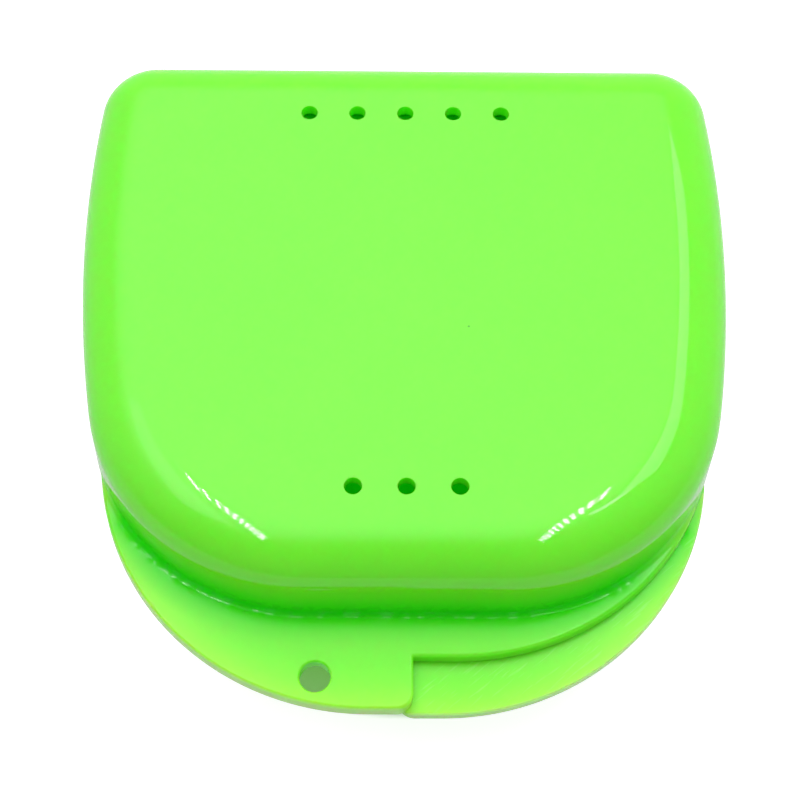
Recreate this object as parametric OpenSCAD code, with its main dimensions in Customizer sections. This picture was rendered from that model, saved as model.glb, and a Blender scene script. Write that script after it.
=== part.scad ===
// Orthodontic retainer case: a vented lid shell and a base shell that meet at mid height,
// each with a front flange that is half finger tab, joined at the back by two pinned hinges.
// Units are millimetres. +Z is up, -Y is the front with the finger tabs, and the origin is
// the centre of the flat underside that the case stands on.

/* [Case body] */
// Width of the body at its widest, on the parting plane
body_w = 80; // [70:0.5:95]
// Depth of the body from back wall to front wall, on the parting plane
body_d = 72.2; // [64:0.2:86]
// Height of the base, from its underside to the parting plane
base_h = 14; // [12:0.5:24]
// Height of the lid, from the parting plane to its top
lid_h = 13; // [11.5:0.5:14]
// Wall thickness of both shells
wall = 1.6; // [1.2:0.1:2.2]
// Draft of the side walls, in degrees
draft = 3; // [1:0.5:5]
// Outside radius of the edge between the walls and the flat faces
edge_r = 6; // [4:0.25:6.5]
// Plan radius of the two back corners
back_corner_r = 7.6; // [7.2:0.2:12]
// Plan radius of the two front corners
front_corner_r = 27; // [20:0.5:30]
// Plan radius of the gently bowed sides
side_bow_r = 155; // [120:5:260]
// Distance from the back wall to the widest place
widest_from_back = 22.6; // [18:0.2:27]

/* [Front flanges] */
// Thickness of each flange
flange_t = 2; // [1.4:0.1:3]
// Reach of the finger tab in front of the body
tab_reach = 11.3; // [9.5:0.1:14]
// Plan radius at the outer end of the finger tab
tab_end_r = 32.2; // [28:0.2:34]
// Straight run of the finger tab's front edge, if it ran right across
tab_flat_w = 8.4; // [4:0.2:14]
// Reach of the narrow half of the flange in front of the body
rim_reach = 5.15; // [3.5:0.05:6]
// Plan radius at the outer end of the narrow half
rim_end_r = 31.5; // [28:0.5:33]
// Straight run of the narrow half's front edge, if it ran right across
rim_flat_w = 11.8; // [8:0.2:16]
// How far each tab passes the middle of the front
tab_overlap = 0.9; // [0.5:0.1:3]
// Plan radius of the tab's inner front corner
tab_corner_r = 2; // [1:0.25:3]
// Radius of the hollow crease where the flange leaves the wall
crease_r = 0.7; // [0.5:0.1:2]

/* [Holes] */
// Diameter of the air holes in the lid
vent_d = 2; // [1.2:0.1:3]
// Spacing of the air holes
vent_pitch = 6; // [4:0.25:7]
// Air holes in the row near the hinge
vent_back_count = 5; // [1:2:7]
// Air holes in the row near the front
vent_front_count = 3; // [1:2:5]
// Distance of the back row from the back wall
vent_back_inset = 10; // [9:0.5:16]
// Distance of the front row from the front wall
vent_front_inset = 11.1; // [9:0.1:16]
// Diameter of the lanyard hole in the lid's tab
lanyard_d = 3.5; // [2.5:0.1:4]
// Distance of the lanyard hole from the middle of the case
lanyard_x = 10.2; // [7:0.2:14]
// Distance of the lanyard hole from the tab's front edge
lanyard_inset = 3.85; // [3:0.05:4.5]

/* [Rim and snap] */
// Thickness of the raised lip inside the base's rim
lip_t = 1; // [0.7:0.1:1.4]
// Height of the raised lip above the parting plane
lip_h = 1.8; // [1.2:0.1:2.6]
// Gap between the lip and the inside of the lid
lip_gap = 0.25; // [0.15:0.05:0.35]
// Radius of the snap bead on the lip
bead_r = 0.45; // [0.35:0.05:0.55]
// Length of the snap bead
bead_len = 14; // [8:1:18]
// Gap between the snap bead and its groove in the lid
bead_gap = 0.15; // [0.1:0.05:0.2]

/* [Hinges] */
// Distance of each hinge's middle from the middle of the case
hinge_x = 18; // [14:0.5:20]
// Diameter of the hinge pins
pin_d = 2; // [1.5:0.1:2.6]
// Outside diameter of the hinge barrels
barrel_d = 5.2; // [4.4:0.1:5.6]
// Gap between the barrels and the back walls
barrel_gap = 0.6; // [0.4:0.1:1.2]
// Width of the lid's barrel
lid_barrel_w = 8; // [5:0.5:10]
// Width of each of the base's two barrels at a hinge
base_barrel_w = 4; // [3:0.5:6]
// Side gap between neighbouring barrels
barrel_side_gap = 0.25; // [0.15:0.05:0.4]
// Radial clearance of the lid's barrel on its pin
pin_clearance = 0.05; // [0.02:0.01:0.1]
// How far the pin's ends lie inside the barrel's ends
pin_recess = 0.2; // [0:0.1:0.5]
// Chamfer at the ends of the pin
pin_chamfer = 0.3; // [0.1:0.1:0.5]

/* [Hidden] */
$fn = 96;

plastic = "#8EFC5C";
steel = "#C9CCCF";

// Cuts run this far past what they cut
cut_margin = 1;
// Sag of the chords that stand for the outline's arcs, where they are buried in a wall
chord_sag = 0.02;

// Width of the flat strip that the swept walls carry inside their rounded edge
strip_w = 0.3;
// The bowed sides lie this much inside the faces of the corners that they run into
seam_step = 0.02;
// How far the bowed sides run on into the corners
seam_overlap = 0.3;
// Roundings reach this far past the faces that they run into, so that they cross instead of touch
blend_bite = 0.005;

// The outline: straight back, back corners, bowed sides, front corners, straight front
back_y = body_d / 2;
front_y = -body_d / 2;
widest_y = back_y - widest_from_back;
side_c = [body_w / 2 - side_bow_r, widest_y];
back_tilt = asin((back_y - back_corner_r - widest_y) / (side_bow_r - back_corner_r));
front_tilt = asin((widest_y - front_y - front_corner_r) / (side_bow_r - front_corner_r));
back_c = side_c + (side_bow_r - back_corner_r) * [cos(back_tilt), sin(back_tilt)];
front_c = side_c + (side_bow_r - front_corner_r) * [cos(front_tilt), -sin(front_tilt)];

// The edge rounding, no larger than the back corners have room for
tallest = max(base_h, lid_h);
edge_room = (back_corner_r - strip_w - seam_overlap) * cos(draft) - tallest * sin(draft);
edge = min(edge_r, edge_room / (1 - sin(draft)));

// The base's lip, measured inwards from the outline on the parting plane
lip_out = wall / cos(draft) + lip_gap;
lip_in = lip_out + lip_t;
bead_z = lip_h / 2;

// The hinge axis
pin_r = pin_d / 2;
barrel_r = barrel_d / 2;
axis_y = back_y + barrel_gap + barrel_r;
hinge_w = lid_barrel_w + 2 * (barrel_side_gap + base_barrel_w);

// Distance inwards of the edge rounding's centre, for a wall of a given height and radius
function edge_centre_inset(h, r) = (r + (h - r) * sin(draft)) / cos(draft);

// How far inwards the swept walls reach, for a shell of a given height
function strip_reach(h) = edge_centre_inset(h, edge) + strip_w;

// Points spread along an arc, clear of its ends
function arc_points(c, r, from, to) =
    let (n = ceil((to - from) / acos(1 - chord_sag / r) / 2))
    [for (i = [0:n - 1]) let (a = from + (to - from) * (i + 0.5) / n) c + r * [cos(a), sin(a)]];

// The right half of the outline moved inwards, from the front to the back
function half_outline(inset) = concat(
    arc_points(front_c, front_corner_r - inset, -90, -front_tilt),
    arc_points(side_c, side_bow_r - inset, -front_tilt, back_tilt),
    arc_points(back_c, back_corner_r - inset, back_tilt, 90));

function outline(inset) =
    let (half = half_outline(inset), n = len(half))
    concat(half, [for (i = [0:n - 1]) [-half[n - 1 - i].x, half[n - 1 - i].y]]);

// Sweeps a section along the straight front and the front corners. Its x runs outwards from the
// outline and its y runs up.
module along_front() {
    $shrink = 0;
    for (side = [0, 1])
        mirror([side, 0, 0]) {
            translate([0, front_y, 0])
                mirror([0, 1, 0])
                    rotate([90, 0, 90])
                        linear_extrude(front_c.x) children();
            translate(front_c)
                rotate(-90)
                    rotate_extrude(angle = 90 - front_tilt)
                        translate([front_corner_r, 0]) children();
        }
}

module along_back() {
    $shrink = 0;
    for (side = [0, 1])
        mirror([side, 0, 0]) {
            translate([0, back_y, 0])
                rotate([90, 0, 90])
                    linear_extrude(back_c.x) children();
            translate(back_c)
                mirror([0, 1, 0])
                    rotate(-90)
                        rotate_extrude(angle = 90 - back_tilt)
                            translate([back_corner_r, 0]) children();
        }
}

// The bowed sides run on into the corners at both ends, a little inside the corners' faces
module along_sides() {
    $shrink = seam_step;
    run_on = seam_overlap / side_bow_r * 180 / PI;
    for (side = [0, 1])
        mirror([side, 0, 0])
            translate(side_c)
                rotate(-front_tilt - run_on)
                    rotate_extrude(angle = front_tilt + back_tilt + 2 * run_on)
                        translate([side_bow_r, 0]) children();
}

module along_outline() {
    along_front() children();
    along_back() children();
    along_sides() children();
}

// Section of a drafted wall and its rounded edge, filled inwards as far as the flat strip.
// It starts at the height given as foot.
module wall_area(h, r, inset, reach, foot) {
    centre = [-edge_centre_inset(h, r) - inset / cos(draft), h - r];
    tangent = centre + r * [cos(draft), sin(draft)];
    intersection() {
        union() {
            polygon([[-inset / cos(draft) - foot * tan(draft), foot], tangent, centre,
                     [centre.x, h], [-reach, h], [-reach, foot]]);
            translate(centre + [blend_bite, blend_bite]) circle(r);
        }
        translate([-reach, foot]) square([reach + cut_margin, h - foot]);
    }
}

// Section of a shell's wall, thinned all round by $shrink
module wall_section(h) {
    reach = strip_reach(h);
    difference() {
        wall_area(h - $shrink, edge, $shrink, reach, 0);
        wall_area(h - wall + $shrink, edge - wall, wall - $shrink, reach + cut_margin, -cut_margin);
    }
}

// One half of the case without its fittings: walls that rise from z = 0, and the flat face
module half_shell(h) {
    along_outline() wall_section(h);
    translate([0, 0, h - wall])
        linear_extrude(wall) polygon(outline(edge_centre_inset(h, edge) + strip_w / 4));
}

// Plan of a flange that runs right across the front, with round ends that run into the body
module flange_plan(reach, end_r, flat_w) {
    for (x = [-flat_w / 2, flat_w / 2])
        translate([x, front_y - reach + end_r]) circle(end_r);
    translate([-flat_w / 2, front_y - reach]) square([flat_w, end_r]);
}

// Plan of the finger tab: the left part of the wide flange, with a rounded inner front corner
module tab_plan() {
    corner = [tab_overlap - tab_corner_r, front_y - tab_reach + tab_corner_r];
    intersection() {
        flange_plan(tab_reach, tab_end_r, tab_flat_w);
        translate([-body_w, front_y - tab_reach])
            square([body_w + corner.x, tab_reach + body_d]);
    }
    intersection() {
        flange_plan(tab_reach, tab_end_r, tab_flat_w);
        translate([corner.x - cut_margin, corner.y])
            square([tab_corner_r + cut_margin, tab_reach + body_d]);
    }
    translate(corner) circle(tab_corner_r);
}

module lid_flange_plan() {
    difference() {
        union() {
            tab_plan();
            flange_plan(rim_reach, rim_end_r, rim_flat_w);
        }
        polygon(outline(wall / 2));
    }
}

// Section of the hollow crease between the flange's top and the drafted wall
module crease_section() {
    centre_z = flange_t + crease_r;
    centre_x = (crease_r - centre_z * sin(draft)) / cos(draft);
    difference() {
        translate([-wall / 2, flange_t / 2])
            square([centre_x + wall / 2, centre_z - flange_t / 2]);
        translate([centre_x - blend_bite, centre_z - blend_bite]) circle(crease_r);
    }
}

// The flange of the upper half, with its tab on the left
module flange() {
    linear_extrude(flange_t) lid_flange_plan();
    intersection() {
        along_front() crease_section();
        linear_extrude(flange_t + 2 * crease_r) lid_flange_plan();
    }
}

// A barrel on the hinge axis with the web that ties it to a wall above the parting plane
module barrel(width) {
    translate([-width / 2, axis_y, 0])
        rotate([0, 90, 0]) cylinder(h = width, r = barrel_r);
    translate([-width / 2, back_y - wall / 2, 0])
        cube([width, axis_y - back_y + wall / 2, barrel_r]);
}

module barrel_bore(width, r) {
    translate([-width / 2 - cut_margin, axis_y, 0])
        rotate([0, 90, 0]) cylinder(h = width + 2 * cut_margin, r = r);
}

module base_barrels() {
    for (side = [-1, 1])
        translate([side * (hinge_w - base_barrel_w) / 2, 0, 0]) children();
}

module hinges() {
    for (side = [-1, 1])
        translate([side * hinge_x, 0, 0]) children();
}

// The raised lip inside the base's rim, with the underside that carries it from the wall,
// thinned all round by $shrink. It leans in with the lid's drafted wall.
module lip_section() {
    lean = lip_h * tan(draft);
    root = lip_t + lip_gap + wall / 2;
    foot = $shrink - lip_h / 2;
    polygon([[-lip_out - $shrink, 0], [-lip_out - lean - $shrink, lip_h - $shrink],
             [-lip_in - lean + $shrink, lip_h - $shrink], [-lip_in - lean + $shrink, foot],
             [-lip_in + root, foot - root - lean], [-lip_in + root, 0]]);
}

module snap_bead(r, length) {
    translate([-length / 2, front_y + lip_out, bead_z])
        rotate([0, 90, 0]) cylinder(h = length, r = r);
}

module vents() {
    rows = [[vent_back_count, back_y - vent_back_inset],
            [vent_front_count, front_y + vent_front_inset]];
    for (row = rows)
        for (i = [0:row[0] - 1])
            translate([(i - (row[0] - 1) / 2) * vent_pitch, row[1], lid_h - wall - cut_margin])
                cylinder(h = wall + 2 * cut_margin, d = vent_d);
}

module lanyard_hole() {
    translate([-lanyard_x, front_y - tab_reach + lanyard_inset, -cut_margin])
        cylinder(h = flange_t + 2 * cut_margin, d = lanyard_d);
}

module lid_shell() {
    color(plastic)
        translate([0, 0, base_h])
            difference() {
                union() {
                    half_shell(lid_h);
                    flange();
                    hinges() barrel(lid_barrel_w);
                }
                vents();
                lanyard_hole();
                hinges() barrel_bore(lid_barrel_w, pin_r + pin_clearance);
                snap_bead(bead_r + bead_gap, bead_len + 2 * bead_gap);
            }
}

module base_shell() {
    color(plastic)
        translate([0, 0, base_h])
            difference() {
                union() {
                    mirror([0, 0, 1]) half_shell(base_h);
                    rotate([0, 180, 0]) flange();
                    along_outline() lip_section();
                    snap_bead(bead_r, bead_len);
                    mirror([0, 0, 1])
                        hinges() base_barrels() barrel(base_barrel_w);
                }
                hinges() base_barrels() barrel_bore(base_barrel_w, pin_r);
            }
}

module hinge_pin() {
    length = hinge_w - 2 * pin_recess;
    shank = length - 2 * pin_chamfer;
    color(steel)
        translate([0, axis_y, base_h])
            rotate([0, 90, 0]) {
                cylinder(h = shank, r = pin_r, center = true);
                for (end = [0, 1])
                    mirror([0, 0, end])
                        translate([0, 0, shank / 2])
                            cylinder(h = pin_chamfer, r1 = pin_r, r2 = pin_r - pin_chamfer);
            }
}

module hinge_pin_left() {
    translate([-hinge_x, 0, 0]) hinge_pin();
}

module hinge_pin_right() {
    translate([hinge_x, 0, 0]) hinge_pin();
}

base_shell();
lid_shell();
hinge_pin_left();
hinge_pin_right();
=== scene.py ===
"""Orthodontic retainer case: its looks, built around the packed model."""

import math

import bpy
import bmesh
import numpy as np
from mathutils import Matrix, Vector


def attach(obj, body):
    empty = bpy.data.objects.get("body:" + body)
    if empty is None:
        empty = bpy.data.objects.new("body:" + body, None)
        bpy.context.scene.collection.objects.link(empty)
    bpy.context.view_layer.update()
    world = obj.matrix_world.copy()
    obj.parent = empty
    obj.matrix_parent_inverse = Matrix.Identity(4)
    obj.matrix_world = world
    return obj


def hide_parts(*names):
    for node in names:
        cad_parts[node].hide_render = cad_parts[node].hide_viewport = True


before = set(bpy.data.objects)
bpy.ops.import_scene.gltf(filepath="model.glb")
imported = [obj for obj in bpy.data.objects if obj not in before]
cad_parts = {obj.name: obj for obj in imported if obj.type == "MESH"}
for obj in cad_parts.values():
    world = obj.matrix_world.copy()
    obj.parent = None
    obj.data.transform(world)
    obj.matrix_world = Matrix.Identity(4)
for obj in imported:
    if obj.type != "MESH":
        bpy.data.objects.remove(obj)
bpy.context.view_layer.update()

bl_info = {
    "name": "Retainer case",
    "version": (1, 0, 0),
    "blender": (4, 5, 0),
    "location": "3D View > Sidebar > Retainer case",
    "description": "Builds the shells, hinge pins and stage of an orthodontic retainer case",
    "category": "Object",
}

MM = 0.001
MERGE_DISTANCE = 1e-7
# Lengths that differ by less than this are the same
SAME = 1e-9
# Rows and columns beside a bend lie this far from it
BESIDE = 0.3 * MM
# Columns of the grid in each run of the outline, and rows in the moulded edge
TAB_CORNER_STEPS = 24
FRONT_STEPS = 28
FRONT_CORNER_STEPS = 40
FLANGE_END_STEPS = 56
SIDE_STEPS = 24
BACK_CORNER_STEPS = 32
BACK_STEPS = 8
EDGE_STEPS = 40
# Directions between which the flanges run out into the front corners, in degrees
FLANGE_ENDS = (-42, -14)
# What the camera looks at
CAMERA_AIM = Vector((-0.53, -7.646, 14.0)) * MM
SENSOR_WIDTH = 36
# Widths of the soft strips, one inside another, and each side's middle, length and share of the power
STRIP_WIDTHS = (0.14, 0.09, 0.05)
STRIPS = (("right", (0.245, 0.19), 0.32, 1.0), ("left", (-0.225, 0.04), 0.28, 0.3))


def length(name, description, millimetres):
    """A length property with its default in millimetres."""
    return bpy.props.FloatProperty(
        name=name, description=description, default=millimetres * MM,
        unit="LENGTH", subtype="DISTANCE", precision=5)


def angle(name, description, degrees):
    """An angle property with its default in degrees."""
    return bpy.props.FloatProperty(
        name=name, description=description, default=math.radians(degrees),
        unit="ROTATION", subtype="ANGLE")


def number(name, description, value):
    """A plain number property."""
    return bpy.props.FloatProperty(name=name, description=description, default=value)


def count(name, description, value):
    """A whole-number property."""
    return bpy.props.IntProperty(name=name, description=description, default=value, min=1)


def hex_to_linear(hex_colour):
    """Linear RGBA of an sRGB colour written as #RRGGBB."""
    channels = [int(hex_colour[i:i + 2], 16) / 255 for i in (1, 3, 5)]
    linear = [c / 12.92 if c <= 0.04045 else ((c + 0.055) / 1.055) ** 2.4 for c in channels]
    return (*linear, 1.0)


def colour(name, description, hex_colour):
    """A colour property with its default as an sRGB hex value."""
    return bpy.props.FloatVectorProperty(
        name=name, description=description, default=hex_to_linear(hex_colour),
        subtype="COLOR", size=4, min=0, max=1)


class CaseSizes(bpy.types.PropertyGroup):
    """Sizes of the moulded shells and the hinge pins."""

    body_w: length("Body width", "Width of the body on the parting plane", 79.97)
    body_d: length("Body depth", "Depth of the body on the parting plane", 72.2)
    base_h: length("Base height", "From the underside to the parting plane", 14)
    lid_h: length("Lid height", "From the parting plane to the top", 13)
    wall: length("Wall", "Wall thickness of both shells", 1.6)
    draft: angle("Draft", "Lean of the moulded walls", 3)
    edge_r: length("Edge radius", "Rounding inside, between the walls and the flat faces", 6)
    edge_run: length("Edge run", "How far the outer rounding runs in over the flat face", 6.83)
    edge_drop: length("Edge drop", "How far the outer rounding runs down the wall", 5.5)
    edge_fullness: number("Edge fullness", "Shape of the outer rounding: 2 is an ellipse", 2.085)
    back_corner_r: length("Back corner radius", "Plan radius of the back corners", 7.6)
    front_corner_r: length("Front corner radius", "Plan radius of the front corners", 27)
    side_bow_r: length("Side bow radius", "Plan radius of the bowed sides", 155)
    widest_from_back: length("Widest place", "From the back wall to the widest place", 22.6)

    flange_t: length("Flange thickness", "Thickness of each front flange", 2)
    tab_reach: length("Tab reach", "Reach of the finger tab in front of the body", 11.3)
    tab_end_r: length("Tab end radius", "Plan radius at the tab's outer end", 32.2)
    tab_flat_w: length("Tab flat", "Straight run of the tab's front edge", 8.4)
    rim_reach: length("Rim reach", "Reach of the flange's narrow half", 5.15)
    rim_end_r: length("Rim end radius", "Plan radius at the narrow half's end", 31.5)
    rim_flat_w: length("Rim flat", "Straight run of the narrow half's front edge", 11.8)
    tab_overlap: length("Tab overlap", "How far each tab passes the middle", 0.9)
    tab_corner_r: length("Tab corner radius", "Plan radius of the tab's inner corner", 2)
    crease_r: length("Crease radius", "Hollow radius where the flange leaves the wall", 0.7)
    top_round: length("Flange top rounding", "Rounding of the flange's outer edge", 0.4)
    rim_round: length("Parting edge rounding", "Rounding of the edges that meet at the parting", 0.25)

    lip_t: length("Lip thickness", "Thickness of the lip inside the base's rim", 1)
    lip_h: length("Lip height", "Height of the lip above the parting plane", 1.8)
    lip_gap: length("Lip gap", "Gap between the lip and the lid", 0.25)
    lip_round: length("Lip rounding", "Rounding of the lip's free edge", 0.3)
    bead_r: length("Bead radius", "Radius of the snap bead", 0.45)
    bead_len: length("Bead length", "Length of the snap bead", 14)
    bead_gap: length("Bead gap", "Gap between the bead and its groove", 0.15)

    vent_d: length("Vent diameter", "Diameter of the air holes", 2)
    vent_pitch: length("Vent spacing", "Spacing of the air holes", 6)
    vent_back_count: count("Back vents", "Air holes in the row near the hinge", 5)
    vent_front_count: count("Front vents", "Air holes in the row near the front", 3)
    vent_back_inset: length("Back row inset", "Back row's distance from the back wall", 10)
    vent_front_inset: length("Front row inset", "Front row's distance from the front wall", 11.1)
    vent_flare: length("Vent flare", "Rounding at the mouths of the air holes", 0.08)
    lanyard_d: length("Lanyard hole", "Diameter of the lanyard hole", 3.5)
    lanyard_x: length("Lanyard offset", "Lanyard hole's distance from the middle", 10.2)
    lanyard_inset: length("Lanyard inset", "Lanyard hole's distance from the tab's edge", 3.85)
    lanyard_flare: length("Lanyard flare", "Rounding at the mouths of the lanyard hole", 0.3)

    hinge_x: length("Hinge offset", "Distance of each hinge from the middle", 18)
    pin_d: length("Pin diameter", "Diameter of the hinge pins", 2)
    barrel_d: length("Barrel diameter", "Outside diameter of the hinge barrels", 5.2)
    barrel_gap: length("Barrel gap", "Gap between the barrels and the walls", 0.6)
    lid_barrel_w: length("Lid barrel width", "Width of the lid's barrels", 8)
    base_barrel_w: length("Base barrel width", "Width of the base's barrels", 4)
    barrel_side_gap: length("Barrel side gap", "Gap between neighbouring barrels", 0.25)
    barrel_round: length("Barrel rounding", "Rounding of the barrels' ends", 0.3)
    pin_clearance: length("Pin clearance", "Clearance of the lid's barrels on the pins", 0.05)
    pin_recess: length("Pin recess", "How far the pins lie inside the barrels", 0.2)
    pin_chamfer: length("Pin chamfer", "Chamfer at the ends of the pins", 0.3)


class CaseFinish(bpy.types.PropertyGroup):
    """Colours and finishes."""

    plastic: colour("Plastic", "Colour of the moulded polypropylene", "#7AEC2A")
    plastic_deep: colour("Plastic, deep", "Colour where the plastic flowed slower", "#74EA26")
    speck: colour("Speck", "Colour of the specks in the plastic", "#2E8E1C")
    # Painted light: a paler colour for the light that gathers in the flange's thin outer edge
    painted_edge_light: colour("Plastic, edge", "Colour of the flange near its outer edge", "#A4FA36")
    # Painted light: the palest colour, painted on the flange's thin outer face; it also paints the hair
    # scratches on the base's tab with their painted sheen
    brink_light_and_scratches: colour("Plastic, brink", "Colour of the flange's thin outer face", "#CAFF9C")
    # Painted shade: a deeper green for the shaded crease where the wall meets the flange
    painted_foot_shade: colour("Plastic, foot", "Colour of the thick plastic at the wall's foot", "#1AE812")
    plastic_roughness: number("Plastic roughness", "Roughness of the polished mould's finish", 0.035)
    flange_roughness: number("Flange roughness", "Roughness of the handled flange", 0.25)
    scatter: length("Scatter", "How far light spreads under the surface", 2)
    steel: colour("Steel", "Colour of the drawn steel wire", "#C9CCCF")
    steel_roughness: number("Steel roughness", "Roughness of the drawn wire", 0.3)


class CaseStage(bpy.types.PropertyGroup):
    """Camera, floor and lights."""

    lens: number("Lens", "Focal length in millimetres on a 36 mm sensor", 75.36)
    distance: length("Camera distance", "From the aim point to the camera", 206.4)
    elevation: angle("Elevation", "Height of the camera above the horizon", 63.095)
    yaw: angle("Yaw", "Turn of the camera about the upright", -1.704)
    roll: angle("Roll", "Turn of the camera about its own axis", 1.811)
    floor_colour: colour("Floor", "Colour of the pale floor", "#C4C4C4")
    sky_low: number("Low sky", "Strength of the white surround low down in front", 0.4)
    sky_high: number("High sky", "Strength of the white surround overhead and behind", 0.85)
    sky_glow: number("Sky glow", "Strength of the soft glow high up behind", 1.5)
    row_watts: number("Lamp rows", "Power of each row of small lamps in watts", 0.25)
    row_count: count("Lamps in a row", "Small lamps in each row", 11)
    row_pitch: length("Lamp spacing", "Spacing of the small lamps", 27)
    row_x: length("Lamp row offset", "Distance of each row of lamps from the middle", 112)
    row_front: length("Lamp row start", "Place of the foremost lamps", -160)
    row_height: length("Lamp height", "Height of the lamps above the floor", 450)
    lamp_w: length("Lamp width", "Width of the small lamps", 4)
    lamp_len: length("Lamp length", "Length of the small lamps", 60)
    row_slant: angle("Lamp slant", "Slant of the small lamps across their row", 21.5)
    inside_watts: number("Light inside", "Power of the light that comes through the plastic", 0.0056)
    strip_watts: number("Soft strips", "Power of the soft strips in watts for each metre", 2.4)


SETTINGS = {"retainer_sizes": CaseSizes, "retainer_finish": CaseFinish, "retainer_stage": CaseStage}


class Plan:
    """The case's outline on the parting plane and its front flange, in plan."""

    def __init__(self, s):
        self.s = s
        self.back_y = s.body_d / 2
        self.front_y = -s.body_d / 2
        widest_y = self.back_y - s.widest_from_back
        self.side_c = np.array([s.body_w / 2 - s.side_bow_r, widest_y])
        back_arm = s.side_bow_r - s.back_corner_r
        front_arm = s.side_bow_r - s.front_corner_r
        self.back_tilt = math.asin((self.back_y - s.back_corner_r - widest_y) / back_arm)
        self.front_tilt = math.asin((widest_y - self.front_y - s.front_corner_r) / front_arm)
        self.back_c = self.side_c + back_arm * np.array(
            [math.cos(self.back_tilt), math.sin(self.back_tilt)])
        self.front_c = self.side_c + front_arm * np.array(
            [math.cos(self.front_tilt), -math.sin(self.front_tilt)])
        self.axis_y = self.back_y + s.barrel_gap + s.barrel_d / 2
        self.hinge_w = s.lid_barrel_w + 2 * (s.barrel_side_gap + s.base_barrel_w)

    def front_xs(self):
        """Column places along the straight front, close together at the tab's inner corner."""
        s = self.s
        half = self.front_c[0]
        corner_x = s.tab_overlap - s.tab_corner_r
        turns = np.radians(np.linspace(0, 90, TAB_CORNER_STEPS + 1))
        corner = corner_x + s.tab_corner_r * np.cos(turns)
        edge = s.tab_overlap + s.top_round * np.array([0.0, 0.1, 0.25, 0.5, 0.75, 1.0, 1.5])
        coarse = np.linspace(-half, half, FRONT_STEPS + 1)
        groove = s.bead_len / 2 + s.bead_gap
        ends = [sign * (groove + step) for sign in (-1, 1) for step in (-BESIDE, 0)]
        clear = (coarse < corner_x - BESIDE) | (coarse > edge[-1] + BESIDE)
        return np.unique(np.round(np.concatenate([corner, edge, coarse[clear], ends]), 9))

    def columns(self):
        """Points and outward normals round the outline, as arrays, from the front's left end."""
        s = self.s
        points = [(x, self.front_y) for x in self.front_xs()]
        normals = [(0.0, -1.0)] * len(points)
        fine = np.radians(np.concatenate([
            np.linspace(-90, FLANGE_ENDS[0], FRONT_CORNER_STEPS + 1)[1:],
            np.linspace(*FLANGE_ENDS, FLANGE_END_STEPS + 1)[1:]]))
        front = np.concatenate([fine, [-self.front_tilt]])
        side = np.linspace(-self.front_tilt, self.back_tilt, SIDE_STEPS + 1)[1:]
        back = np.linspace(self.back_tilt, math.pi / 2, BACK_CORNER_STEPS + 1)[1:]
        runs = ((self.front_c, s.front_corner_r, front), (self.side_c, s.side_bow_r, side),
                (self.back_c, s.back_corner_r, back))
        right = []
        for centre, radius, turns in runs:
            for turn in turns:
                normal = np.array([math.cos(turn), math.sin(turn)])
                right.append((centre + radius * normal, normal))
        points += [p for p, n in right]
        normals += [n for p, n in right]
        for x in np.linspace(self.back_c[0], -self.back_c[0], BACK_STEPS + 1)[1:]:
            points.append((x, self.back_y))
            normals.append((0.0, 1.0))
        flip = np.array([-1.0, 1.0])
        for p, n in right[-2::-1]:
            points.append(p * flip)
            normals.append(n * flip)
        return np.array(points), np.array(normals)

    def reach(self, points, normals, reach, end_r, flat_w):
        """How far a flange that runs right across stands out from the outline, along the normals."""
        centre = np.stack([np.sign(points[:, 0]) * flat_w / 2,
                           np.full(len(points), self.front_y - reach + end_r)], 1)
        inside = np.abs(points[:, 0]) <= flat_w / 2
        centre[inside, 0] = points[inside, 0]
        arm = points - centre
        along = (arm * normals).sum(1)
        room = along ** 2 - (arm ** 2).sum(1) + end_r ** 2
        out = np.sqrt(np.maximum(room, 0)) - along
        ahead = points[:, 1] < self.front_c[1]
        return np.where((room > 0) & ahead, np.maximum(out, 0), 0)

    def flange_reaches(self, points, normals):
        """Reach of the narrow half everywhere, and of the whole flange with its tab on the left."""
        s = self.s
        narrow = self.reach(points, normals, s.rim_reach, s.rim_end_r, s.rim_flat_w)
        wide = self.reach(points, normals, s.tab_reach, s.tab_end_r, s.tab_flat_w)
        over = np.maximum(points[:, 0] - (s.tab_overlap - s.tab_corner_r), 0)
        fall = np.sqrt(np.maximum(s.tab_corner_r ** 2 - over ** 2, 0))
        wide = np.where(over > 0, wide - s.tab_corner_r + fall, wide)
        return narrow, np.where(points[:, 0] <= s.tab_overlap + SAME, wide, narrow)

    def stadium(self, at, reach, end_r, flat_w):
        """Depth of points inside a flange that runs right across."""
        across = np.maximum(np.abs(at[..., 0]) - flat_w / 2, 0)
        ahead = at[..., 1] - (self.front_y - reach + end_r)
        return end_r - np.hypot(across, ahead)

    def edge_distance(self, at):
        """Distance of points on the flange from its outer edge."""
        s = self.s
        r = s.tab_corner_r
        wide = self.stadium(at, s.tab_reach, s.tab_end_r, s.tab_flat_w)
        narrow = self.stadium(at, s.rim_reach, s.rim_end_r, s.rim_flat_w)
        side = s.tab_overlap - at[..., 0]
        turned = r - np.hypot(r - wide, r - side)
        tab = np.where((wide < r) & (side < r), turned, np.minimum(wide, side))
        both = np.hypot(np.maximum(tab, 0), np.maximum(narrow, 0))
        middle = np.where(side <= SAME, narrow, both)
        return np.maximum(np.where(at[..., 0] < -r, tab, middle), 0)


def rounding(distance, radius):
    """How much a rounded edge falls away at a distance from it."""
    gap = np.clip(radius - distance, 0, radius)
    return radius - np.sqrt(radius ** 2 - gap ** 2)


def eased(n):
    """Steps from 0 to 1 that close up towards 1."""
    return np.sin(np.linspace(0, math.pi / 2, n + 1))[1:]


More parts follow.
